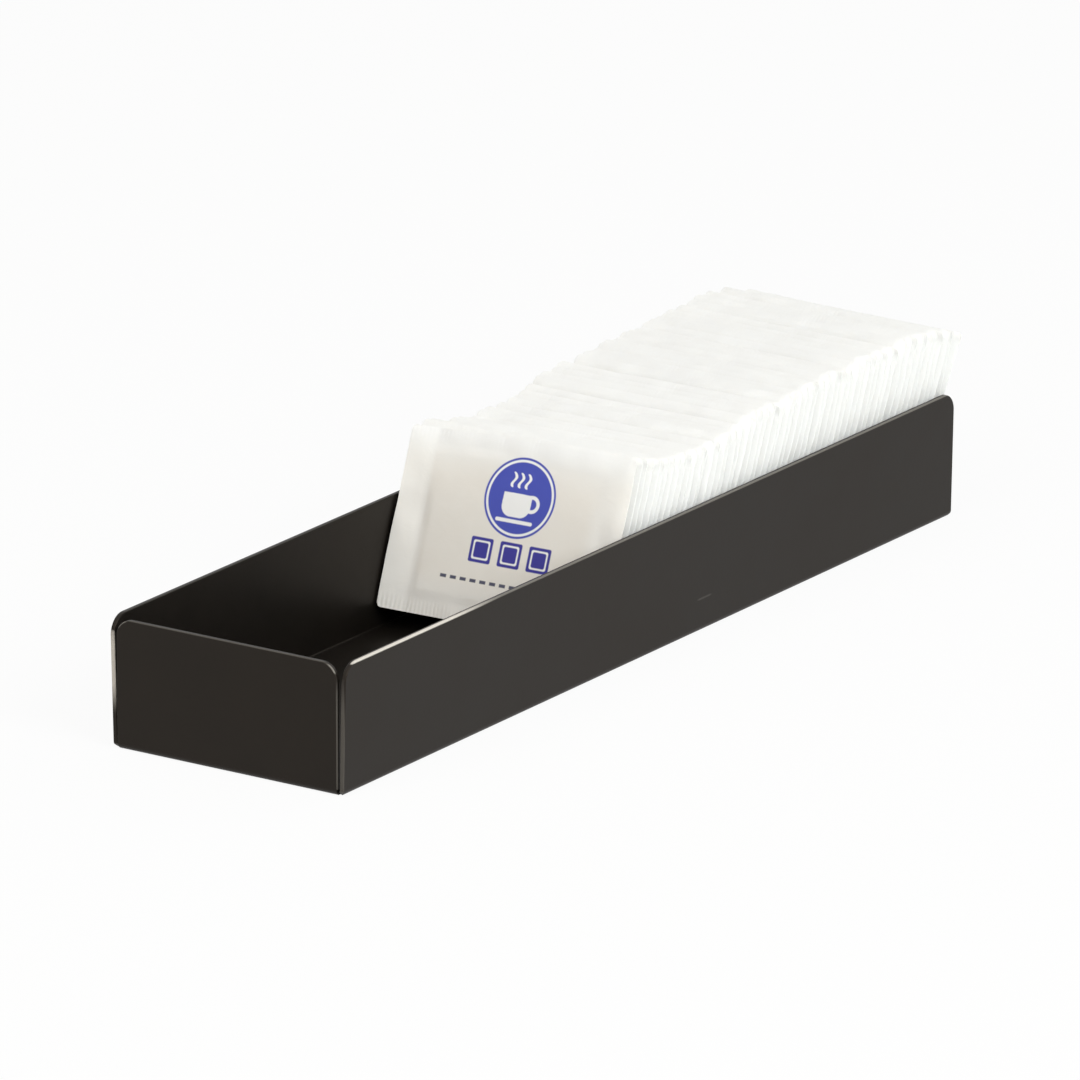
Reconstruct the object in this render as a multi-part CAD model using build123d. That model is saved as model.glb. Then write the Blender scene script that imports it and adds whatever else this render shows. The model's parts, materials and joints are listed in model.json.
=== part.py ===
from build123d import *
import os
from math import cos, degrees, radians, sin, tan

# A sugar packet caddy: a long open tray folded from one steel sheet, and the row of sealed paper packets
# that stands in it. The packets lean back on the tray's far end wall, and the near end of the tray is empty.
# Millimetres and degrees. +X runs across the tray, +Y along it from the empty near end to the far end and
# +Z up. The origin is the centre of the tray's underside, on the surface that the tray stands on.

# Packet
packet_width = 63.0
packet_height = 46.0
packet_corner = 1.2
seal_thickness = 0.3  # two layers of crimped paper
side_seal = 6.0  # flat sealed band down each side
end_seal = 5.0  # flat sealed band along the top and the bottom
fill_thickness = 2.07  # through the two crowns of an average packet
fill_spread = 0.22  # a packet is up to this much thicker or thinner
crown_run = 9.0  # from a seal to the level middle of the crown
crown_corner = 6.0
crown_slope = (0, 30, 60, 90)  # steps of the crown's quarter-round slope

# Tray, as wide inside as a packet and its play
side_play = 0.3  # between a packet's side and the side wall, at the floor
sheet = 1.2
tray_width = packet_width + 2 * (side_play + sheet)  # over the outside of the side bends
tray_length = 265.0  # over the outer faces of the two end walls
tray_height = 32.4
bend_radius = 1.6  # outside of every bend
side_lean = 1.2  # each side wall leans out by this much
side_setback = 0.5  # from an end wall's outer face back to the side walls' cut edges
corner_gap = 0.3  # slit that parts each end wall from the side walls beside it
side_corner_radius = 4.8
end_corner_radius = 4.4
relief_radius = 0.4  # hole at the slit's inner end, where two bend lines meet at a corner of the floor
edge_round = 0.25  # deburred edges of the walls

# Row
packet_lean = 22.0  # from upright, towards the far end
packet_clearance = 0.2  # between neighbours, and between a packet and the tray
lift_spread = 0.4  # a packet stands up to this much higher or lower than its bunch's line
slip_spread = 0.12  # and up to this much to one side
tilt_spread = 0.2  # and turned by up to this many degrees in its own plane, about the middle of its foot
# The row is pushed together from bunches, from front to back: how many packets each has, how far it is turned
# about the vertical and tilted to the right, and how far its first, middle and last packet stand above the
# floor, wedged between the side walls.
bunch_counts = (14, 6, 7, 7, 5, 8, 11)
bunch_turns = (1.6, 1.0, 0.5, 0.1, 0.5, 1.2, 2.2)
bunch_tilts = (0.0, 0.0, 0.2, 0.2, 0.4, 0.7, 1.3)
bunch_lifts = (
    (5.6, 2.4, 1.3),
    (1.6, 2.5, 2.6),
    (5.0, 5.0, 4.0),
    (5.5, 5.8, 5.7),
    (6.7, 5.9, 5.2),
    (6.9, 6.5, 6.1),
    (7.4, 6.1, 3.8),
)


# Tray


def folded_channel(width, lean, length):
    """A channel of sheet along Y: a floor, and a bend and a wall down each side of it, still uncut."""
    blank_height = tray_height + sheet
    flare = blank_height * tan(radians(lean))
    with BuildPart() as channel:
        with BuildSketch(Plane.XZ):
            with BuildLine():
                FilletPolyline(
                    (-width / 2 - flare, blank_height),
                    (-width / 2, 0),
                    (width / 2, 0),
                    (width / 2 + flare, blank_height),
                    radius=bend_radius,
                )
                offset(amount=sheet, side=Side.LEFT)
            make_face()
        extrude(amount=length / 2, both=True)
    return channel.part


def wall_outline(bend_length, wall_length, corner_radius, foot_cut, depth):
    """A block through both walls of a channel with their side view: one length at the bend and another above
    it, with rounded top corners, and with the corners at its foot cut off where they would show."""
    wall_rise = tray_height - bend_radius
    with BuildPart() as block:
        with BuildSketch(Plane.YZ) as outline:
            with Locations((0, bend_radius / 2)):
                Rectangle(bend_length, bend_radius)
            with Locations((0, bend_radius + wall_rise / 2)):
                Rectangle(wall_length, wall_rise)
            fillet(outline.vertices().group_by(Axis.Y)[-1], corner_radius)
            if foot_cut:
                chamfer(outline.vertices().group_by(Axis.Y)[0], foot_cut)
        extrude(amount=depth / 2, both=True)
    return block.part


def tray():
    """One sheet with four walls folded up. Each corner is open: the side walls and their bends run on past the
    floor to the corner, and a slit parts them from the end wall and its bend."""
    flare = tray_height * tan(radians(side_lean))
    floor_length = tray_length - 2 * bend_radius
    floor_width = tray_width - 2 * bend_radius
    side_wall_length = tray_length - 2 * side_setback
    end_wall_width = tray_width - 2 * (sheet + corner_gap)
    sides = folded_channel(tray_width, side_lean, tray_length)
    outline_depth = tray_width + 4 * flare
    foot_cut = bend_radius - side_setback
    sides &= wall_outline(side_wall_length, side_wall_length, side_corner_radius, foot_cut, outline_depth)
    for past_floor in GridLocations(0, floor_length + 2 * bend_radius, 1, 2):
        sides -= past_floor * Box(floor_width + corner_gap, 2 * bend_radius, 2 * bend_radius)
    ends = folded_channel(tray_length, 0, tray_width)
    ends &= wall_outline(floor_width - corner_gap, end_wall_width, end_corner_radius, 0, 2 * tray_length)
    folded = sides + Rot(Z=90) * ends
    for corner in GridLocations(floor_width, floor_length, 2, 2):
        folded -= corner * Cylinder(relief_radius, 2 * bend_radius)
    rims = [e for e in folded.edges() if e.center().Z > bend_radius + edge_round and e.length > 2 * sheet]
    return fillet(rims, edge_round)


# Packets


def clipped_outline(inset_x, inset_z, corner, y):
    """Corner points of a packet's outline drawn in by an inset, with clipped corners, in the plane at y."""
    side, low, high = packet_width / 2 - inset_x, inset_z, packet_height - inset_z
    right_half = [(side - corner, low), (side, low + corner), (side, high - corner), (side - corner, high)]
    left_half = [(-x, z) for x, z in reversed(right_half)]
    return [Vector(x, y, z) for x, z in right_half + left_half]


def packet(thickness):
    """A paper packet: two sheets sealed flat all round, and the crown of sugar between them. It stands on the
    middle of its bottom edge at the origin, facing -Y."""
    crown_height = (thickness - seal_thickness) / 2
    front = []
    for angle in reversed(crown_slope):
        draw_in = crown_run * (1 - cos(radians(angle)))
        face_y = -seal_thickness / 2 - crown_height * sin(radians(angle))
        front.append(clipped_outline(side_seal + draw_in, end_seal + draw_in, crown_corner, face_y))
    front.append(clipped_outline(0, 0, packet_corner, -seal_thickness / 2))
    back = [[Vector(p.X, -p.Y, p.Z) for p in outline] for outline in reversed(front)]
    outlines = front + back
    faces = [Face(Wire.make_polygon(outlines[0])), Face(Wire.make_polygon(outlines[-1]))]
    for outline, following in zip(outlines, outlines[1:]):
        for k in range(len(outline)):
            facet = [outline[k - 1], outline[k], following[k], following[k - 1]]
            faces.append(Face(Wire.make_polygon(facet)))
    return Solid(Shell(faces))


# Row


def scatter(number, stride):
    """One of an even spread of values from -1 to 1, always the same one for the same packet."""
    return 2 * ((number * stride) % 1.0) - 1


def between(values, share):
    """The value at a share of the way along three values spaced evenly."""
    first, middle, last = values
    if share < 0.5:
        return first + (middle - first) * 2 * share
    return middle + (last - middle) * (2 * share - 1)


def row_places():
    """Each packet of the row from front to back: its thickness, its turn about the vertical and its tilt, and
    where the middle of its bottom edge stands along the tray and above the surface below the tray."""
    lean = radians(packet_lean)
    bend_seat = bend_radius - packet_corner * cos(lean)  # lower, its corners would meet the side bends
    upright_seat = max(sheet, bend_seat) + packet_clearance + seal_thickness / 2 * sin(lean)

    packets = []
    for count, turn, bunch_tilt, lifts in zip(bunch_counts, bunch_turns, bunch_tilts, bunch_lifts):
        for place in range(count):
            number = len(packets)
            thickness = fill_thickness + fill_spread * scatter(number, 0.618)
            tilt = radians(bunch_tilt + tilt_spread * scatter(number, 0.236))
            lift = between(lifts, place / (count - 1)) + lift_spread * scatter(number, 0.414)
            least_seat = upright_seat + packet_width / 2 * sin(abs(tilt))
            packets.append((thickness, radians(turn), tilt, max(sheet + lift, least_seat)))

    # The last packet leans on the rim of the far end wall, and each other one on the packet behind it. Its
    # foot is where its middle plane, drawn on down, meets the surface below the tray.
    places = []
    rear_y, rear_turn, rear_half = tray_length / 2 - sheet, 0, 0
    for thickness, turn, tilt, seat in reversed(packets):
        slope = tan(lean) / cos(turn)
        if not places:
            rear_y -= tray_height * slope
        gap = rear_half + packet_clearance + thickness / 2
        swing = packet_width / 2 * abs(tan(turn) - tan(rear_turn))
        foot_y = rear_y - gap / (cos(lean) * cos(turn)) - swing
        places.append((thickness, turn, tilt, foot_y + seat * slope, seat))
        rear_y, rear_turn, rear_half = foot_y, turn, thickness / 2
    return places[::-1]


def standing(number, turn, tilt, y, seat):
    """Where a packet of the row stands: turned with its bunch, slipped, leant back and tilted."""
    slip = slip_spread * scatter(number, 0.732)
    return Pos(0, y, seat) * Rot(Z=degrees(turn)) * Pos(slip, 0, 0) * Rot(X=-packet_lean) * Rot(Y=degrees(tilt))


os.makedirs("parts", exist_ok=True)
export_step(tray(), "parts/tray.step")
for number, (thickness, turn, tilt, y, seat) in enumerate(row_places(), start=1):
    place = standing(number, turn, tilt, y, seat)
    export_step(place * packet(thickness), f"parts/packet_{number:02d}.step")
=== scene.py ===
import json
import math

import bpy
import numpy as np
from mathutils import Matrix, Vector, noise


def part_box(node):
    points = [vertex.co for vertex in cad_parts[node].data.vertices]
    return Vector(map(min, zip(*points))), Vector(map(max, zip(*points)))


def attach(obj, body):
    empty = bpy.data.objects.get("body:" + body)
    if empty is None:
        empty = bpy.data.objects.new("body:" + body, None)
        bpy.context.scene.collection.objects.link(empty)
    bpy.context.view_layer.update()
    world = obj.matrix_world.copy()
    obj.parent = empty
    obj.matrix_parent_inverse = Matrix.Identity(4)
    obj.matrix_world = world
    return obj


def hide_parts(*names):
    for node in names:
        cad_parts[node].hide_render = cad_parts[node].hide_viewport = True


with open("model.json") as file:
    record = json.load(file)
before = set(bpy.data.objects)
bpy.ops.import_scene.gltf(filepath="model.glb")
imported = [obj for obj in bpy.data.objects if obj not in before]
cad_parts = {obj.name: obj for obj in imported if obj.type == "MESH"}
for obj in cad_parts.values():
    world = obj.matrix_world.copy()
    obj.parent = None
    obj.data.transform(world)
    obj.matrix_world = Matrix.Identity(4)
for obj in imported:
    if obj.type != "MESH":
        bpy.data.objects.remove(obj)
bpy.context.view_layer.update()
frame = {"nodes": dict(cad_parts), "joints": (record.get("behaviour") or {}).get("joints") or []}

bl_info = {
    "name": "Sugar Packet Caddy",
    "version": (1, 0, 0),
    "blender": (4, 5, 0),
    "location": "View3D > Sidebar > Caddy",
    "description": "Dresses a folded steel caddy and fills it with sealed paper sugar packets",
    "category": "Object",
}

MM = 0.001
TRAY = "tray"
TRAY_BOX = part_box(TRAY)
PACKETS = sorted(name for name in frame["nodes"] if name.startswith("packet_"))
LIFT_AXIS = {joint["child"]: Vector(joint["axis"]).normalized() for joint in frame["joints"]}
MASTER = "pouch_master"
SEAL = "seal"  # attribute: 1 where the two sheets are glued together, 0 over the sugar
PAPER_MAP = "paper"  # UV map: across and up the flat sheet, 0 to 1
FILLING_STEPS = 20  # frames of the cloth simulation that fills the packet


# Placing


def standing(node):
    """Where a packet's solid stands: a matrix to the frame from the packet's own axes (across, back, up)
    at its middle, and its size along those axes."""
    lift = LIFT_AXIS[node]
    level = lift.cross(Vector((0, 0, 1))).normalized()
    points = np.unique([np.round(v.co, 7) for v in frame["nodes"][node].data.vertices], axis=0)
    spread = np.cov((points @ level, points @ lift))
    tilt = math.atan2(2 * spread[0, 1], spread[0, 0] - spread[1, 1]) / 2
    across = level * math.cos(tilt) + lift * math.sin(tilt)
    up = lift * math.cos(tilt) - level * math.sin(tilt)
    axes = np.array((across, up.cross(across), up))
    along = points @ axes.T
    low, high = along.min(0), along.max(0)
    place = Matrix(axes).transposed().to_4x4()
    place.translation = Vector((low + high) / 2 @ axes)
    return place, Vector(high - low)


STANDING = {node: standing(node) for node in PACKETS}
PACKET_SIZE = [min(size[axis] for _, size in STANDING.values()) for axis in range(3)]


def deselect():
    """Nothing selected, in object mode, as each piece is started."""
    if bpy.context.object and bpy.context.object.mode != "OBJECT":
        bpy.ops.object.mode_set(mode="OBJECT")
    bpy.ops.object.select_all(action="DESELECT")


def choose(item):
    """Selects one object alone and makes it active."""
    deselect()
    item.select_set(True)
    bpy.context.view_layer.objects.active = item


def apply_place(item):
    """Puts an object's place, turn and scale into its mesh."""
    choose(item)
    bpy.ops.object.transform_apply(location=True, rotation=True, scale=True)


def points_of(mesh):
    """The mesh's points as an array."""
    flat = np.zeros(len(mesh.vertices) * 3)
    mesh.vertices.foreach_get("co", flat)
    return flat.reshape(-1, 3)


def set_points(mesh, points):
    """Moves the mesh's points to the rows of an array."""
    mesh.vertices.foreach_set("co", np.asarray(points, float).ravel())
    mesh.update()


def ramp(value, start, end):
    """0 at start and 1 at end, rising smoothly between them."""
    share = np.clip((value - start) / (end - start), 0, 1)
    return share * share * (3 - 2 * share)


# Materials


def colour(code):
    """A colour written as an sRGB hex code, in linear light."""
    parts = [int(code[k : k + 2], 16) / 255 for k in (1, 3, 5)]
    return [c / 12.92 if c <= 0.04045 else ((c + 0.055) / 1.055) ** 2.4 for c in parts] + [1.0]


def add_node(tree, kind, settings=None, inputs=None):
    """Adds a node, sets it up, and fills its inputs with values or links."""
    node = tree.nodes.new(kind)
    for name, value in (settings or {}).items():
        setattr(node, name, value)
    for name, value in (inputs or {}).items():
        if isinstance(value, bpy.types.NodeSocket):
            tree.links.new(value, node.inputs[name])
        else:
            node.inputs[name].default_value = value
    return node


def new_material(name):
    """An empty material with its output and shader joined, and both returned with its tree."""
    material = bpy.data.materials.new(name)
    material.use_nodes = True
    tree = material.node_tree
    tree.nodes.clear()
    shader = add_node(tree, "ShaderNodeBsdfPrincipled")
    add_node(tree, "ShaderNodeOutputMaterial", inputs={"Surface": shader.outputs[0]})
    return material, tree, shader


# Painted highlights on the tray's rims and cut edges, standing in for light caught there, with a little
# rubbed wear
# and one scuff, in millimetres: the middle of each patch, half its size and how far it fades out, and then
# its strength.
OUTER_RIGHT, NEAR, TOP = (value / MM for value in (TRAY_BOX[1][0], TRAY_BOX[0][1], TRAY_BOX[1][2]))
RUBS_AND_HIGHLIGHTS = (
    ((OUTER_RIGHT, -108, TOP), (0.45, 18, 0.3), (0.3, 24, 0.35), 1.0),  # right rim at the empty end
    ((OUTER_RIGHT, 30, TOP), (0.35, 110, 0.15), (0.3, 30, 0.3), 0.22),  # right rim along the packets
    ((0, NEAR, TOP), (28, 0.2, 0.08), (4, 0.3, 0.2), 0.09),  # near end's rim
    ((31.45, NEAR, 14), (0.08, 0.3, 10), (0.15, 0.4, 6), 0.1),  # its right cut edge
    ((32.6, NEAR + 0.5, 12), (0.6, 0.12, 8), (0.25, 0.15, 12), 0.1),  # right wall's cut edge beside it
    ((-32.8, NEAR + 0.5, 21), (0.7, 0.12, 4), (0.25, 0.15, 9), 0.75),  # left wall's cut edge
    ((OUTER_RIGHT - 0.5, 20.5, 8.5), (0.6, 2.0, 0.02), (0.5, 1.6, 0.35), 0.06),  # scuff on the right wall
)

# The near end's rounded corners: the middle and radius of the right one's curve, and a painted highlight
# along it, where light catches the curve, placed by its distance from that middle, its place along the
# tray and its height above that middle.
CURVE_X, CURVE_Z, CURVE_RADIUS = 27.1, TOP - 4.4, 4.4
CURVE_HIGHLIGHT = ((CURVE_RADIUS, NEAR, 3.0), (0.05, 0.2, 0.6), (0.3, 0.3, 0.7), 0.3)


def rub_and_highlight_patch(tree, place, centre, half, fade, strength):
    """How strongly a place of the tray takes the pale paint of the highlights and rubs: the full strength
    inside a box, fading out round it.
    """
    centre, half, fade = (Vector(size) * MM for size in (centre, half, fade))
    moved = add_node(tree, "ShaderNodeVectorMath", {"operation": "SUBTRACT"}, {0: place, 1: centre})
    folded = add_node(tree, "ShaderNodeVectorMath", {"operation": "ABSOLUTE"}, {0: moved.outputs[0]})
    beyond = add_node(
        tree, "ShaderNodeVectorMath", {"operation": "SUBTRACT"}, {0: folded.outputs[0], 1: half}
    )
    outside = add_node(
        tree, "ShaderNodeVectorMath", {"operation": "MAXIMUM"}, {0: beyond.outputs[0], 1: (0, 0, 0)}
    )
    in_fades = add_node(
        tree, "ShaderNodeVectorMath", {"operation": "DIVIDE"}, {0: outside.outputs[0], 1: fade}
    )
    distance = add_node(
        tree, "ShaderNodeVectorMath", {"operation": "LENGTH"}, {0: in_fades.outputs[0]}
    ).outputs["Value"]
    rub_and_highlight_share = add_node(
        tree,
        "ShaderNodeMapRange",
        {"interpolation_type": "SMOOTHSTEP"},
        {"Value": distance, "From Min": 1.0, "From Max": 0.0, "To Min": 0.0, "To Max": strength},
    )
    return rub_and_highlight_share.outputs[0]


def round_curve(tree, place):
    """A place as it lies to the near end's rounded corner, left or right: its distance from the middle of
    the curve, its place along the tray and its height above that middle."""
    middle = Vector((CURVE_X, 0, CURVE_Z)) * MM
    folded = add_node(tree, "ShaderNodeVectorMath", {"operation": "ABSOLUTE"}, {0: place})
    beyond = add_node(
        tree, "ShaderNodeVectorMath", {"operation": "SUBTRACT"}, {0: folded.outputs[0], 1: middle}
    )
    in_curve = add_node(
        tree, "ShaderNodeVectorMath", {"operation": "MAXIMUM"}, {0: beyond.outputs[0], 1: (0, 0, 0)}
    )
    flat = add_node(
        tree, "ShaderNodeVectorMath", {"operation": "MULTIPLY"}, {0: in_curve.outputs[0], 1: (1, 0, 1)}
    )
    radius = add_node(tree, "ShaderNodeVectorMath", {"operation": "LENGTH"}, {0: flat.outputs[0]})
    along = add_node(tree, "ShaderNodeSeparateXYZ", inputs={0: place}).outputs["Y"]
    height = add_node(tree, "ShaderNodeSeparateXYZ", inputs={0: in_curve.outputs[0]}).outputs["Z"]
    curve = add_node(
        tree, "ShaderNodeCombineXYZ", inputs={"X": radius.outputs["Value"], "Y": along, "Z": height}
    )
    return curve.outputs[0]


def powder_coat(props):
    """Mild steel, folded and then powder coated in a warm satin black. The baked powder flows into a skin
    with a fine orange peel, so highlights are soft and slightly pebbled. Pale patches are painted on the
    rims, the
    rounded corner and the cut edges: painted highlights where light catches them, with a little rubbed
    wear, brightest along the right rim at the empty end."""
    material, tree, shader = new_material("satin_powder_coat")
    place = add_node(tree, "ShaderNodeTexCoord").outputs["Object"]
    peel = add_node(
        tree,
        "ShaderNodeTexNoise",
        inputs={"Vector": place, "Scale": 1 / props.peel_size, "Detail": 2.0, "Roughness": 0.45},
    )
    cloud = add_node(
        tree,
        "ShaderNodeTexNoise",
        inputs={"Vector": place, "Scale": 1 / props.cloud_size, "Detail": 3.0, "Roughness": 0.55},
    ).outputs["Fac"]
    tone = add_node(
        tree,
        "ShaderNodeMapRange",
        inputs={"Value": cloud, "From Min": 0.3, "From Max": 0.7, "To Min": 0.0, "To Max": 1.0},
    )
    coat = add_node(
        tree,
        "ShaderNodeMix",
        {"data_type": "RGBA"},
        {"Factor": tone.outputs[0], "A": colour(props.coat_dark), "B": colour(props.coat_light)},
    )
    # Pale patches painted over the coat: painted highlights where light catches the rims, corner and cut
    # edges, with a little rubbed wear.
    rub_and_highlight_masks = [rub_and_highlight_patch(tree, place, *patch) for patch in RUBS_AND_HIGHLIGHTS]
    rub_and_highlight_masks.append(rub_and_highlight_patch(tree, round_curve(tree, place), *CURVE_HIGHLIGHT))
    rubbed_and_highlighted_coat, rub_and_highlight = coat.outputs["Result"], colour(props.rub_and_highlight)
    for rub_and_highlight_share in rub_and_highlight_masks:
        rubbed_and_highlighted_coat = add_node(
            tree, "ShaderNodeMix", {"data_type": "RGBA"}, {"Factor": rub_and_highlight_share, "A": rubbed_and_highlighted_coat, "B": rub_and_highlight}
        ).outputs["Result"]
    tree.links.new(rubbed_and_highlighted_coat, shader.inputs["Base Color"])
    low, high = props.coat_roughness - 0.03, props.coat_roughness + 0.03
    gloss = add_node(
        tree,
        "ShaderNodeMapRange",
        inputs={"Value": cloud, "From Min": 0.3, "From Max": 0.7, "To Min": low, "To Max": high},
    )
    tree.links.new(gloss.outputs[0], shader.inputs["Roughness"])
    bump = add_node(
        tree,
        "ShaderNodeBump",
        inputs={"Strength": 0.35, "Distance": props.peel_depth, "Height": peel.outputs["Fac"]},
    )
    tree.links.new(bump.outputs[0], shader.inputs["Normal"])
    shader.inputs["IOR"].default_value = 1.5
    shader.inputs["Specular IOR Level"].default_value = props.coat_shine
    shader.inputs["Specular Tint"].default_value = colour(props.shine_tint)
    return material


def packet_paper(props, name, printed):
    """Bleached machine-glazed kraft paper, about 50 grams a square metre, glued and crimped at its seals.
    Thin and dull, it glows a little and lets the sugar behind it warm its tone, so the glued seals look
    whiter. Its patterns are in millimetres: clouds 9 across, creases 5 and fibres 0.6."""
    material, tree, shader = new_material(name)
    width, height = PACKET_SIZE[0] / MM, PACKET_SIZE[2] / MM
    flat = add_node(tree, "ShaderNodeUVMap", {"uv_map": PAPER_MAP}).outputs["UV"]
    sheet = add_node(
        tree,
        "ShaderNodeMapping",
        inputs={
            "Vector": flat,
            "Location": (-width / 2, -height / 2, 0.0),
            "Scale": (width, height, 1.0),
        },
    ).outputs[0]
    seal = add_node(tree, "ShaderNodeAttribute", {"attribute_name": SEAL}).outputs["Fac"]
    cloud = add_node(
        tree,
        "ShaderNodeTexNoise",
        inputs={"Vector": sheet, "Scale": 1 / 9.0, "Detail": 2.0, "Roughness": 0.5},
    )
    over_sugar = add_node(
        tree,
        "ShaderNodeMix",
        {"data_type": "RGBA"},
        {"Factor": cloud.outputs["Fac"], "A": colour(props.paper_warm), "B": colour(props.paper_cool)},
    )
    paper = add_node(
        tree,
        "ShaderNodeMix",
        {"data_type": "RGBA"},
        {"Factor": seal, "A": over_sugar.outputs["Result"], "B": colour(props.paper_seal)},
    )
    surface = paper.outputs["Result"]
    if printed:
        surface = packet_print(tree, sheet, surface, props)
    tree.links.new(surface, shader.inputs["Base Color"])
    fibre = add_node(
        tree,
        "ShaderNodeTexNoise",
        inputs={"Vector": sheet, "Scale": 1 / 0.6, "Detail": 2.0, "Roughness": 0.6},
    ).outputs["Fac"]
    crease = add_node(
        tree,
        "ShaderNodeTexNoise",
        inputs={"Vector": sheet, "Scale": 1 / 5.0, "Detail": 3.0, "Roughness": 0.55, "Distortion": 0.6},
    ).outputs["Fac"]
    fine = add_node(
        tree, "ShaderNodeBump", inputs={"Strength": 0.25, "Distance": 0.02 * MM, "Height": fibre}
    ).outputs[0]
    creased = add_node(
        tree,
        "ShaderNodeBump",
        inputs={"Strength": 0.5, "Distance": 0.14 * MM, "Height": crease, "Normal": fine},
    )
    tree.links.new(creased.outputs[0], shader.inputs["Normal"])
    shader.inputs["Roughness"].default_value = props.paper_roughness
    shader.inputs["IOR"].default_value = 1.5
    shader.inputs["Specular IOR Level"].default_value = 0.3
    shader.inputs["Subsurface Weight"].default_value = props.paper_glow
    shader.inputs["Subsurface Radius"].default_value = (1.0, 0.97, 0.92)
    shader.inputs["Subsurface Scale"].default_value = props.glow_depth
    return material


def inked(tree, sheet, under, ink, centre, half, corner, edge=0.12):
    """Prints one solid shape on the sheet, in millimetres from its middle: a box with rounded corners, or
    a disc where the corners are as large as the half sizes. Ink creeps a little into paper, so its edge is
    soft."""
    moved = add_node(tree, "ShaderNodeVectorMath", {"operation": "SUBTRACT"}, {0: sheet, 1: (*centre, 0)})
    folded = add_node(tree, "ShaderNodeVectorMath", {"operation": "ABSOLUTE"}, {0: moved.outputs[0]})
    inner = (half[0] - corner, half[1] - corner, 0)
    beyond = add_node(
        tree, "ShaderNodeVectorMath", {"operation": "SUBTRACT"}, {0: folded.outputs[0], 1: inner}
    )
    outside = add_node(
        tree, "ShaderNodeVectorMath", {"operation": "MAXIMUM"}, {0: beyond.outputs[0], 1: (0, 0, 0)}
    )
    distance = add_node(
        tree, "ShaderNodeVectorMath", {"operation": "LENGTH"}, {0: outside.outputs[0]}
    ).outputs["Value"]
    mask = add_node(
        tree,
        "ShaderNodeMapRange",
        inputs={"Value": distance, "From Min": corner + edge, "From Max": corner - edge},
    )
    printed = add_node(
        tree, "ShaderNodeMix", {"data_type": "RGBA"}, {"Factor": mask.outputs[0], "A": under, "B": ink}
    )
    return printed.outputs["Result"]


def packet_print(tree, sheet, paper, props):
    """The front sheet's print in three blues: a round badge with a steaming cup, three sugar lumps below
    it and a dashed rule."""
    blue, deep, navy = colour(props.ink_badge), colour(props.ink_lumps), colour(props.ink_rule)
    white = colour(props.paper_seal)
    surface = paper
    x, z = 1.6, 9.0  # middle of the badge
    for radius, ink in ((9.9, blue), (9.35, white), (8.75, blue)):
        surface = inked(tree, sheet, surface, ink, (x, z), (radius, radius), radius)
    for radius, ink in ((2.2, white), (1.3, blue)):  # handle
        surface = inked(tree, sheet, surface, ink, (x + 3.6, z - 1.1), (radius, radius), radius)
    surface = inked(tree, sheet, surface, white, (x - 0.6, z - 1.9), (4.0, 2.9), 2.7)  # bowl
    surface = inked(tree, sheet, surface, white, (x - 0.6, z - 0.3), (4.0, 1.3), 0.2)
    surface = inked(tree, sheet, surface, white, (x - 0.4, z - 5.8), (5.2, 0.45), 0.45)  # saucer
    axes = add_node(tree, "ShaderNodeSeparateXYZ", inputs={0: sheet}).outputs
    turn = add_node(tree, "ShaderNodeMath", {"operation": "MULTIPLY"}, {0: axes["Y"], 1: 1.7})
    wave = add_node(tree, "ShaderNodeMath", {"operation": "SINE"}, {0: turn.outputs[0]})
    sway = add_node(tree, "ShaderNodeMath", {"operation": "MULTIPLY"}, {0: wave.outputs[0], 1: 0.45})
    aside = add_node(tree, "ShaderNodeCombineXYZ", inputs={"X": sway.outputs[0]})
    swaying = add_node(
        tree, "ShaderNodeVectorMath", {"operation": "ADD"}, {0: sheet, 1: aside.outputs[0]}
    ).outputs[0]
    for place in (-2.6, -0.6, 1.4):  # steam
        surface = inked(tree, swaying, surface, white, (x + place, z + 4.2), (0.38, 1.9), 0.38)
    for place in (-8.2, 0.0, 8.2):  # lumps, each with the paper left bare round its top face
        for size, ink in ((3.1, deep), (2.35, white), (1.9, deep)):
            surface = inked(tree, sheet, surface, ink, (x + 0.4 + place, z - 14.0), (size, size), 0.5)
    every_dash = add_node(
        tree,
        "ShaderNodeVectorMath",
        {"operation": "WRAP"},
        {0: sheet, 1: (x + 1.4, 100, 1), 2: (x - 1.4, -100, -1)},
    ).outputs[0]
    dashed = inked(tree, every_dash, surface, navy, (x, z - 21.6), (0.85, 0.4), 0.1)
    aside = add_node(tree, "ShaderNodeMath", {"operation": "SUBTRACT"}, {0: axes["X"], 1: x})
    distance = add_node(tree, "ShaderNodeMath", {"operation": "ABSOLUTE"}, {0: aside.outputs[0]})
    within = add_node(
        tree, "ShaderNodeMath", {"operation": "LESS_THAN"}, {0: distance.outputs[0], 1: 18.3}
    )
    ruled = add_node(
        tree,
        "ShaderNodeMix",
        {"data_type": "RGBA"},
        {"Factor": within.outputs[0], "A": surface, "B": dashed},
    )
    return ruled.outputs["Result"]


# What a user may change


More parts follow.
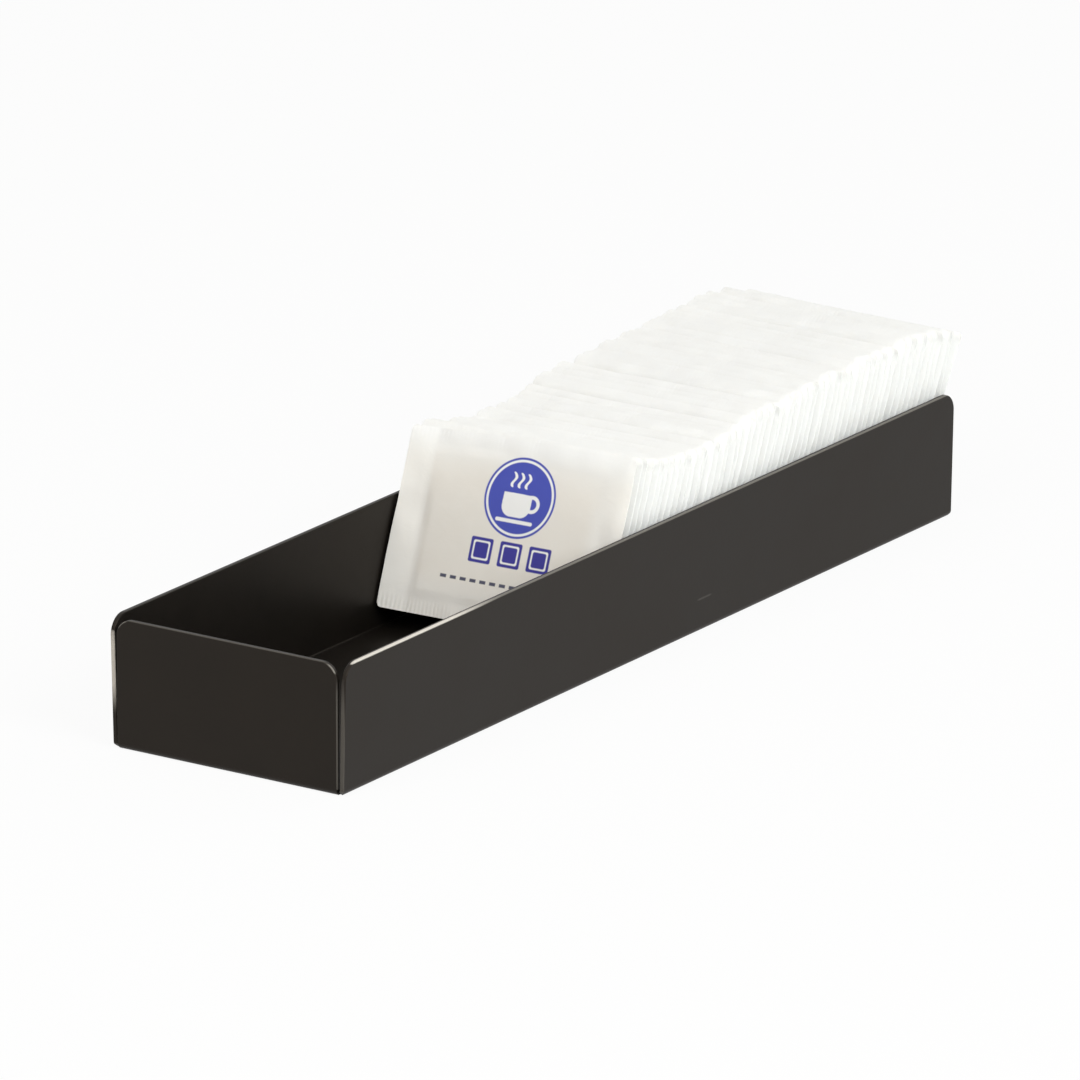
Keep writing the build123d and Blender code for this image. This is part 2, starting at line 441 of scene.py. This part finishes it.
class CaddyTray(bpy.types.PropertyGroup):
    """The tray's finish."""

    coat_dark: bpy.props.StringProperty(
        name="Coat, dark", description="Darker tone of the coat", default="#0f0d0b"
    )
    coat_light: bpy.props.StringProperty(
        name="Coat, light", description="Paler tone of the coat", default="#14110e"
    )
    # Pale colour painted as highlights on the rims, corner and cut edges, and as rubbed steel.
    rub_and_highlight: bpy.props.StringProperty(
        name="Rub", description="The coat where it is rubbed thin", default="#d6d0c6"
    )
    shine_tint: bpy.props.StringProperty(
        name="Shine tint", description="Tint of reflections", default="#ffeddb"
    )
    coat_roughness: bpy.props.FloatProperty(
        name="Roughness", description="Gloss of the coat", default=0.44, min=0, max=1
    )
    coat_shine: bpy.props.FloatProperty(
        name="Shine", description="Strength of reflections", default=0.235, min=0, max=1
    )
    peel_size: bpy.props.FloatProperty(
        name="Peel size",
        description="Width of one pebble of the orange peel",
        default=0.9 * MM,
        unit="LENGTH",
    )
    peel_depth: bpy.props.FloatProperty(
        name="Peel depth",
        description="Height of the orange peel",
        default=0.02 * MM,
        unit="LENGTH",
        precision=5,
    )
    cloud_size: bpy.props.FloatProperty(
        name="Cloud size",
        description="Width of the coat's uneven patches",
        default=22 * MM,
        unit="LENGTH",
    )


class CaddyPacket(bpy.types.PropertyGroup):
    """One sealed paper packet."""

    width: bpy.props.FloatProperty(
        name="Width", description="Across the packet", default=PACKET_SIZE[0], unit="LENGTH"
    )
    height: bpy.props.FloatProperty(
        name="Height", description="Up the packet", default=PACKET_SIZE[2], unit="LENGTH"
    )
    side_seal: bpy.props.FloatProperty(
        name="Side seal", description="Glued band down each side", default=6 * MM, unit="LENGTH"
    )
    seal_skew: bpy.props.FloatProperty(
        name="Seal skew",
        description="How much the left band widens down",
        default=2 * MM,
        unit="LENGTH",
    )
    corner: bpy.props.FloatProperty(
        name="Corner",
        description="Radius of the sheet's corners",
        default=1.2 * MM,
        unit="LENGTH",
        precision=5,
    )
    end_seal: bpy.props.FloatProperty(
        name="End seal",
        description="Crimped band at the top and bottom",
        default=4 * MM,
        unit="LENGTH",
    )
    seal_thickness: bpy.props.FloatProperty(
        name="Seal thickness",
        description="Two layers of paper and their crimp",
        default=0.3 * MM,
        unit="LENGTH",
        precision=5,
    )
    crimp_pitch: bpy.props.FloatProperty(
        name="Crimp pitch",
        description="From one ridge of an end seal to the next",
        default=1.1 * MM,
        unit="LENGTH",
    )
    crimp_depth: bpy.props.FloatProperty(
        name="Crimp depth",
        description="Height of a ridge",
        default=0.035 * MM,
        unit="LENGTH",
        precision=5,
    )
    pressure: bpy.props.FloatProperty(
        name="Filling", description="How tightly the sugar fills the packet", default=3.0
    )
    settling: bpy.props.FloatProperty(
        name="Settling", description="How much slacker the packet's top is", default=0.6
    )
    thinning: bpy.props.FloatProperty(
        name="Thinning", description="How much thinner the packet's top is", default=0.7
    )
    paper_warm: bpy.props.StringProperty(
        name="Paper, warm", description="Paper over the sugar, warmer tone", default="#ebe6dd"
    )
    paper_cool: bpy.props.StringProperty(
        name="Paper, cool", description="Paper over the sugar, cooler tone", default="#f1ede5"
    )
    paper_seal: bpy.props.StringProperty(
        name="Paper, seal", description="Glued paper", default="#f8f8f5"
    )
    ink_badge: bpy.props.StringProperty(
        name="Ink, badge", description="Blue of the badge", default="#4a55b5"
    )
    ink_lumps: bpy.props.StringProperty(
        name="Ink, lumps", description="Blue of the sugar lumps", default="#3f3d98"
    )
    ink_rule: bpy.props.StringProperty(
        name="Ink, rule", description="Navy of the dashed rule", default="#2b3052"
    )
    paper_roughness: bpy.props.FloatProperty(
        name="Roughness", description="Gloss of the paper", default=0.62
    )
    paper_glow: bpy.props.FloatProperty(
        name="Glow", description="Share of light that passes into the packet", default=0.3
    )
    glow_depth: bpy.props.FloatProperty(
        name="Glow depth",
        description="How far light spreads in the paper and sugar",
        default=0.25 * MM,
        unit="LENGTH",
    )


class CaddyRow(bpy.types.PropertyGroup):
    """How the packets of the row differ."""

    front_swell: bpy.props.FloatProperty(
        name="Front swell", description="How full the front packet's free face is", default=0.8
    )
    bend: bpy.props.FloatProperty(
        name="Bend",
        description="How far a seal's edge bends back",
        default=1.4 * MM,
        unit="LENGTH",
        precision=5,
    )
    bend_run: bpy.props.FloatProperty(
        name="Bend run",
        description="How much of a seal is bent",
        default=3.8 * MM,
        unit="LENGTH",
        precision=5,
    )
    wave: bpy.props.FloatProperty(
        name="Wave",
        description="How far a seal waves from flat",
        default=0.8 * MM,
        unit="LENGTH",
        precision=5,
    )
    wave_length: bpy.props.FloatProperty(
        name="Wave length", description="Length of the seals' waves", default=24 * MM, unit="LENGTH"
    )
    uneven: bpy.props.FloatProperty(
        name="Uneven",
        description="How much the packets' heights differ",
        default=0.35 * MM,
        unit="LENGTH",
        precision=5,
    )
    arch: bpy.props.FloatProperty(
        name="Arch",
        description="Rise of the arches at the left corners",
        default=1.2 * MM,
        unit="LENGTH",
        precision=5,
    )
    front_curl: bpy.props.FloatProperty(
        name="Front curl",
        description="How far the front packet's left seal curls forward",
        default=1.6 * MM,
        unit="LENGTH",
    )
    # Shifts the front packet's lower seals toward the warmer, darker paper colour.
    front_seal_tone: bpy.props.FloatProperty(
        name="Front warmth",
        description="How much more the sugar shows through the front packet's seals",
        default=0.6,
    )
    last_bend: bpy.props.FloatProperty(
        name="Last bend",
        description="How far the last packet's top bends back",
        default=2.2 * MM,
        unit="LENGTH",
    )


class CaddyStage(bpy.types.PropertyGroup):
    """Floor, light and camera."""

    azimuth: bpy.props.FloatProperty(
        name="Azimuth",
        description="The camera's turn round the caddy",
        default=math.radians(34.0),
        subtype="ANGLE",
    )
    elevation: bpy.props.FloatProperty(
        name="Elevation",
        description="The camera's height angle",
        default=math.radians(17.53),
        subtype="ANGLE",
    )
    distance: bpy.props.FloatProperty(
        name="Distance", description="From the camera to the caddy", default=3.378, unit="LENGTH"
    )
    lens: bpy.props.FloatProperty(
        name="Lens", description="Focal length in millimetres", default=466.7
    )
    floor: bpy.props.StringProperty(name="Floor", description="Colour of the floor", default="#eeeeec")
    backlit: bpy.props.FloatProperty(
        name="Backlit",
        description="How far the floor is lit from below, as a light table is",
        default=0.93,
    )
    ambient: bpy.props.FloatProperty(name="Ambient", description="Light from all round", default=0.36)
    front_light: bpy.props.FloatProperty(
        name="Front light", description="Power of the front soft box", default=10.0
    )
    right_light: bpy.props.FloatProperty(
        name="Right light", description="Power of the right soft box", default=20.5
    )
    back_light: bpy.props.FloatProperty(
        name="Back light", description="Power of the back soft box", default=3.5
    )
    front_tint: bpy.props.StringProperty(
        name="Front tint", description="Colour of the front light", default="#fffaf4"
    )
    side_tint: bpy.props.StringProperty(
        name="Side tint", description="Colour of the other lights", default="#fcffff"
    )


# Tray


class CADDY_OT_coat_tray(bpy.types.Operator):
    """Gives the folded tray its powder coat"""

    bl_idname = "caddy.coat_tray"
    bl_label = "Coat the tray"

    def execute(self, context):
        body = frame["nodes"][TRAY]
        body.data.materials.clear()
        body.data.materials.append(powder_coat(context.scene.caddy_tray))
        return {"FINISHED"}


# One packet


def flat_pouch(props, front_paper, back_paper):
    """Two sheets of paper face to face, standing at the origin, joined round their edge."""
    columns = round(props.width / props.crimp_pitch)
    rows = round(props.height / props.crimp_pitch)
    deselect()
    bpy.ops.mesh.primitive_grid_add(x_subdivisions=columns, y_subdivisions=rows, size=1)
    pouch = bpy.context.object
    pouch.name = pouch.data.name = MASTER
    pouch.data.uv_layers[0].name = PAPER_MAP
    pouch.scale = (props.width, props.height, 1)
    pouch.rotation_euler = (math.radians(90), 0, 0)
    apply_place(pouch)
    pouch.data.materials.append(front_paper)
    pouch.data.materials.append(back_paper)
    thicken = pouch.modifiers.new("two_sheets", "SOLIDIFY")
    thicken.thickness = props.seal_thickness
    thicken.offset = 0
    thicken.material_offset = 1  # the second sheet takes the second paper
    bpy.ops.object.modifier_apply(modifier=thicken.name)
    return pouch


def seal_share(points, props, side_blend, end_blend):
    """1 on the glued bands and 0 over the sugar, for points of the flat packet. The left band is wider
    towards its foot."""
    skew = props.seal_skew * (0.5 - points[:, 2] / props.height) * (points[:, 0] < 0)
    inside_side = props.width / 2 - np.abs(points[:, 0]) - props.side_seal - skew
    inside_end = props.height / 2 - np.abs(points[:, 2]) - props.end_seal
    return 1 - ramp(inside_side, 0, side_blend) * ramp(inside_end, 0, end_blend)


def inflate(pouch, props):
    """Fills the pouch by a cloth simulation: the paper over the sugar swells, and the seals are pulled in
    and buckle as paper does."""
    flat = points_of(pouch.data)
    sealed = seal_share(flat, props, 2 * MM, 2 * MM)
    settled = 1 - props.settling * ramp(flat[:, 2], 0, props.height / 2 - props.end_seal)
    group = pouch.vertex_groups.new(name="sugar")
    for number, weight in enumerate((1 - sealed) * settled):
        group.add([number], float(weight), "REPLACE")
    dent, dent_width = 0.1 * MM, 7 * MM  # handled paper is never quite flat
    start = flat.copy()
    for number, point in enumerate(flat):
        start[number, 1] += dent * noise.noise(Vector(point) / dent_width)
    set_points(pouch.data, start)
    cloth = pouch.modifiers.new("filling", "CLOTH")
    cloth.collision_settings.use_collision = False
    paper = cloth.settings
    paper.quality = 6
    paper.mass = 0.05
    paper.tension_stiffness = paper.compression_stiffness = 40
    paper.shear_stiffness = 20
    paper.bending_stiffness = 2
    paper.use_pressure = True
    paper.uniform_pressure_force = props.pressure
    paper.vertex_group_pressure = group.name
    paper.effector_weights.gravity = 0
    scene = bpy.context.scene
    for step in range(1, FILLING_STEPS + 1):
        scene.frame_set(step)
    choose(pouch)
    bpy.ops.object.modifier_apply(modifier=cloth.name)
    scene.frame_set(1)
    pouch.vertex_groups.clear()
    # The glue holds the two sheets together: along the seals both follow their middle surface.
    points = points_of(pouch.data)
    half = len(points) // 2
    middle = (points[:half] + points[half:]) / 2
    for rows in (slice(0, half), slice(half, None)):
        glued = middle + np.array((0, props.seal_thickness / 2, 0)) * np.sign(flat[rows, 1:2])
        points[rows] += (glued - points[rows]) * sealed[rows, None]
    set_points(pouch.data, points)


def crimp_ends(pouch, props):
    """Presses the short upright ridges of the end seals into the paper, unevenly deep and long."""
    choose(pouch)
    bpy.ops.object.mode_set(mode="EDIT")
    bpy.ops.mesh.select_mode(type="EDGE")
    bpy.ops.mesh.select_all(action="DESELECT")
    bpy.ops.object.mode_set(mode="OBJECT")
    points = points_of(pouch.data)
    band = props.height / 2 - props.end_seal
    for edge in pouch.data.edges:
        ends = points[list(edge.vertices)]
        across = abs(ends[0, 0] - ends[1, 0]) > props.crimp_pitch / 2
        edge.select = bool(across and np.abs(ends[:, 2]).min() > band)
    bpy.ops.object.mode_set(mode="EDIT")
    bpy.ops.mesh.subdivide(number_cuts=3, ngon=False)
    bpy.ops.object.mode_set(mode="OBJECT")
    points = points_of(pouch.data)
    ragged = np.array([noise.noise(Vector((x / (3 * MM), 0, 0))) for x in points[:, 0]])
    start = band + (0.4 + 0.8 * ragged) * MM
    reach = ramp(np.abs(points[:, 2]), start, start + 1.4 * MM)
    force = 0.65 + 0.6 * np.array([noise.noise(Vector((x / (4 * MM), 5, 0))) for x in points[:, 0]])
    ridges = np.sin(2 * math.pi * points[:, 0] / props.crimp_pitch)
    foot = np.where(points[:, 2] < 0, 2.5, 1)  # the bottom seal is crimped last and hardest
    points[:, 1] += props.crimp_depth * ridges * reach * force * foot
    set_points(pouch.data, points)


def round_corners(pouch, props):
    """Rounds the four corners of the sheets, by drawing each corner's square into a quarter disc."""
    points = points_of(pouch.data)
    inner = np.array((props.width, props.height)) / 2 - props.corner
    beyond = np.abs(points[:, ::2]) - inner
    at_corner = (beyond > 0).all(1)
    draw = beyond[at_corner].max(1) / np.linalg.norm(beyond[at_corner], axis=1)
    signs = np.sign(points[at_corner, ::2])
    points[at_corner, ::2] = signs * (inner + beyond[at_corner] * draw[:, None])
    set_points(pouch.data, points)


def mark_seals(pouch, props):
    """Stores where the sheets are glued, for the paper's tone. The sugar has run down to the left, so it
    ends more softly at the right."""
    points = points_of(pouch.data)
    side_blend = np.where(points[:, 0] < 0, 1.5, 6) * MM
    sealed = seal_share(points, props, side_blend, 9 * MM)
    seal = pouch.data.attributes.new(SEAL, "FLOAT", "POINT")
    seal.data.foreach_set("value", sealed.astype(np.float32))


class CADDY_OT_make_pouch(bpy.types.Operator):
    """Models one filled and sealed packet, from which the row is copied"""

    bl_idname = "caddy.make_pouch"
    bl_label = "Make the packet"

    def execute(self, context):
        props = context.scene.caddy_packet
        front_paper = packet_paper(props, "printed_packet_paper", True)
        back_paper = packet_paper(props, "packet_paper", False)
        pouch = flat_pouch(props, front_paper, back_paper)
        inflate(pouch, props)
        crimp_ends(pouch, props)
        round_corners(pouch, props)
        mark_seals(pouch, props)
        choose(pouch)
        bpy.ops.object.shade_smooth_by_angle(angle=math.radians(50))
        return {"FINISHED"}


# Row


def pressed(points, front, back, packet):
    """How far each point stands off the packet's middle plane, with its two crowns pressed flat by the
    packets in front of it and behind it. The sugar has settled, so the crowns thin out towards the top."""
    crown_top = packet.height / 2 - packet.end_seal
    fullness = 1 - packet.thinning * ramp(points[:, 2], 0.05 * packet.height, crown_top)
    room = np.where(points[:, 1] < 0, front, back) * fullness
    return room * np.tanh(points[:, 1] / room)


def waved(points, number, room, packet, row):
    """How far each point of a packet's seals stands off its middle plane. Each seal wanders as a whole
    and waves along its length, so that it touches its neighbours here and there."""
    wander = [
        noise.noise(Vector((x / row.wave_length, 9.7 * number, z / row.wave_length)))
        + 0.35 * noise.noise(Vector((3.1 * x / row.wave_length, 5.3 * number, 3.1 * z / row.wave_length)))
        for x, _, z in points
    ]
    off_plane = room * np.tanh(row.wave / room * np.array(wander))
    return off_plane * seal_share(points, packet, 2 * MM, 2 * MM)


def stretched(points, number, packet, row):
    """How far each point of a packet's upper half stands higher. No two packets are cut quite alike, and
    small groups of them stand arched against each other, most of all at their left corners."""
    cut = row.uneven * (0.6 * math.sin(2.4 * number) + noise.noise(Vector((0.7 * number, 0, 0))))
    arch = row.arch * (abs(math.sin(0.62 * number + 0.8 * math.sin(0.23 * number))) - 0.7)
    left = ramp(-points[:, 0], 0.1 * packet.width, 0.5 * packet.width)
    return (cut + arch * left) * ramp(points[:, 2], 0, packet.height / 2)


def bent_back(points, number, packet, row):
    """How far each point of a packet's seals bends back, and is drawn in by that: pushed down between the
    walls and its neighbours, the paper lies over at the right and at the top, like shingles. The first few
    packets have little in front of them to press them over, and stay straighter."""
    free = points[:, 2] + 3 * MM * noise.noise(Vector((0, 0.9 * number, 0)))
    reach = (points[:, 0] > 0) * (0.6 + 0.4 * ramp(free, 0.05 * packet.height, 0.3 * packet.height))
    beyond_side = np.maximum(0, np.abs(points[:, 0]) - packet.width / 2 + row.bend_run)
    beyond_top = np.maximum(0, points[:, 2] - packet.height / 2 + row.bend_run)
    share = np.minimum(1, np.hypot(beyond_side * reach, beyond_top) / row.bend_run)
    drawn_in = (2 * row.bend / row.bend_run) ** 2 / 6 * row.bend_run * share**3
    total = np.maximum(1e-9, np.hypot(beyond_side, beyond_top))
    aside = -np.sign(points[:, 0]) * drawn_in * beyond_side / total
    down = -drawn_in * beyond_top / total
    return np.stack((aside, row.bend * share**2, down), axis=1) * min(1, 0.25 + 0.15 * number)


def shaped(number, shape, half, packet, row):
    """The points of one packet of the row, from those of the packet that all are copied from."""
    first, last = number == 0, number == len(PACKETS) - 1
    points = shape.copy()
    points[:, 1] = pressed(shape, row.front_swell * half if first else half, half, packet)
    room = half - packet.seal_thickness / 2 - packet.crimp_depth
    points[:, 1] += waved(shape, number, room, packet, row)
    points[:, 2] += stretched(shape, number, packet, row)
    points += bent_back(shape, number, packet, row)
    if first:
        band = packet.side_seal + packet.seal_skew / 2
        points[:, 1] -= row.front_curl * np.clip((band - packet.width / 2 - shape[:, 0]) / band, 0, 1)
    if last:
        points[:, 1] += row.last_bend * ramp(shape[:, 2], 0.15 * packet.height, 0.6 * packet.height)
    return points


def tone_front_seals(piece, shape, packet, row):
    """Tints a packet's seals toward the warmer, darker paper colour, most at the foot and not along its
    top.
    """
    low = 1 - ramp(shape[:, 2], 0.3 * packet.height, 0.5 * packet.height)
    for seal, share in zip(piece.data.attributes[SEAL].data, row.front_seal_tone * low):
        seal.value *= 1 - share


class CADDY_OT_fill_row(bpy.types.Operator):
    """Stands a packet wherever the frame holds one"""

    bl_idname = "caddy.fill_row"
    bl_label = "Fill the row"

    def execute(self, context):
        packet, row = context.scene.caddy_packet, context.scene.caddy_row
        master = bpy.data.objects[MASTER]
        shape = points_of(master.data)
        for number, node in enumerate(PACKETS):
            place, size = STANDING[node]
            points = shaped(number, shape, size[1] / 2, packet, row)
            piece = bpy.data.objects.new(f"sugar_{node}", master.data.copy())
            context.scene.collection.objects.link(piece)
            turn = np.array(place.to_3x3())
            set_points(piece.data, points @ turn.T + np.array(place.translation))
            if number == 0:
                tone_front_seals(piece, shape, packet, row)
            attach(piece, node)
            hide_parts(node)
        bpy.data.objects.remove(master)
        return {"FINISHED"}


# Stage


def seen_ray(tree):
    """1 for rays that show a surface, to the camera or in a gloss, and 0 for rays that carry its light to
    other surfaces."""
    rays = add_node(tree, "ShaderNodeLightPath").outputs
    seen = add_node(
        tree,
        "ShaderNodeMath",
        {"operation": "MAXIMUM"},
        {0: rays["Is Camera Ray"], 1: rays["Is Glossy Ray"]},
    )
    return seen.outputs[0]


def lay_floor(props):
    """A matt white floor that is lit from below, so that only a faint shadow shows on it."""
    deselect()
    bpy.ops.mesh.primitive_plane_add(size=8, location=(0, 0, 0))
    floor = bpy.context.object
    floor.name = "floor"
    apply_place(floor)
    material, tree, shader = new_material("matt_white_floor")
    shader.inputs["Base Color"].default_value = colour(props.floor)
    shader.inputs["Roughness"].default_value = 0.9
    shader.inputs["Specular IOR Level"].default_value = 0.1
    share = add_node(
        tree, "ShaderNodeMath", {"operation": "MULTIPLY"}, {0: seen_ray(tree), 1: props.backlit}
    )
    white = add_node(tree, "ShaderNodeEmission", inputs={"Color": colour("#ffffff"), "Strength": 1.0})
    lit_from_below = add_node(
        tree,
        "ShaderNodeMixShader",
        inputs={0: share.outputs[0], 1: shader.outputs[0], 2: white.outputs[0]},
    )
    tree.links.new(lit_from_below.outputs[0], tree.nodes["Material Output"].inputs["Surface"])
    floor.data.materials.append(material)


def light_from_all_round(scene, props):
    """A world that shows white and lights softly."""
    world = bpy.data.worlds.new("studio")
    scene.world = world
    world.use_nodes = True
    tree = world.node_tree
    tree.nodes.clear()
    lit, shown = (
        add_node(tree, "ShaderNodeBackground", inputs={"Color": colour("#ffffff"), "Strength": strength})
        for strength in (props.ambient, 1.0)
    )
    both = add_node(
        tree,
        "ShaderNodeMixShader",
        inputs={0: seen_ray(tree), 1: lit.outputs[0], 2: shown.outputs[0]},
    )
    add_node(tree, "ShaderNodeOutputWorld", inputs={"Surface": both.outputs[0]})


def soft_box(name, place, size, power, tint):
    """A square lamp at a place, facing the caddy."""
    deselect()
    bpy.ops.object.light_add(type="AREA", location=place)
    lamp = bpy.context.object
    lamp.name = name
    lamp.rotation_euler = Vector(place).to_track_quat("Z", "Y").to_euler()
    lamp.data.shape = "SQUARE"
    lamp.data.size = size
    lamp.data.energy = power
    lamp.data.color = colour(tint)[:3]


def aim_camera(scene, props):
    """A camera far off with a long lens, aimed at the middle of the tray and then slid to frame it."""
    middle = Vector((0, 0, 16 * MM))
    slide_left, slide_up = 0.73 * MM, 6.16 * MM
    back = Vector((
        math.sin(props.azimuth) * math.cos(props.elevation),
        -math.cos(props.azimuth) * math.cos(props.elevation),
        math.sin(props.elevation),
    ))
    turn = back.to_track_quat("Z", "Y")
    right, up = turn @ Vector((1, 0, 0)), turn @ Vector((0, 1, 0))
    deselect()
    bpy.ops.object.camera_add(
        location=middle + back * props.distance - right * slide_left + up * slide_up
    )
    camera = bpy.context.object
    camera.rotation_mode = "QUATERNION"
    camera.rotation_quaternion = turn
    camera.data.lens = props.lens
    camera.data.clip_start, camera.data.clip_end = 0.1, 20
    scene.camera = camera


class CADDY_OT_light_stage(bpy.types.Operator):
    """Lays the pale floor, hangs the soft light and sets up the camera"""

    bl_idname = "caddy.light_stage"
    bl_label = "Set the stage"

    def execute(self, context):
        props = context.scene.caddy_stage
        lay_floor(props)
        light_from_all_round(context.scene, props)
        soft_box("front_soft_box", (-0.1, -1.35, 1.15), 1.0, props.front_light, props.front_tint)
        soft_box("right_soft_box", (1.45, -0.45, 0.95), 0.9, props.right_light, props.side_tint)
        soft_box("back_soft_box", (0.6, 1.58, 1.06), 0.7, props.back_light, props.side_tint)
        aim_camera(context.scene, props)
        context.scene.view_settings.view_transform = "Standard"
        return {"FINISHED"}


# Add-on


class CADDY_PT_panel(bpy.types.Panel):
    """The caddy's sizes, colours and steps"""

    bl_label = "Sugar packet caddy"
    bl_idname = "CADDY_PT_panel"
    bl_space_type = "VIEW_3D"
    bl_region_type = "UI"
    bl_category = "Caddy"

    def draw(self, context):
        for group, step in STEPS.items():
            box = self.layout.box()
            props = getattr(context.scene, group)
            for name in props.__annotations__:
                box.prop(props, name)
            box.operator(step.bl_idname)


GROUPS = {
    "caddy_tray": CaddyTray,
    "caddy_packet": CaddyPacket,
    "caddy_row": CaddyRow,
    "caddy_stage": CaddyStage,
}
STEPS = {
    "caddy_tray": CADDY_OT_coat_tray,
    "caddy_packet": CADDY_OT_make_pouch,
    "caddy_row": CADDY_OT_fill_row,
    "caddy_stage": CADDY_OT_light_stage,
}
CLASSES = [*GROUPS.values(), *STEPS.values(), CADDY_PT_panel]


def register():
    for item in CLASSES:
        bpy.utils.register_class(item)
    for name, group in GROUPS.items():
        setattr(bpy.types.Scene, name, bpy.props.PointerProperty(type=group))


def unregister():
    for name in GROUPS:
        delattr(bpy.types.Scene, name)
    for item in reversed(CLASSES):
        bpy.utils.unregister_class(item)


def main():
    register()
    bpy.ops.caddy.coat_tray()
    bpy.ops.caddy.make_pouch()
    bpy.ops.caddy.fill_row()
    bpy.ops.caddy.light_stage()


if __name__ == "__main__":
    main()
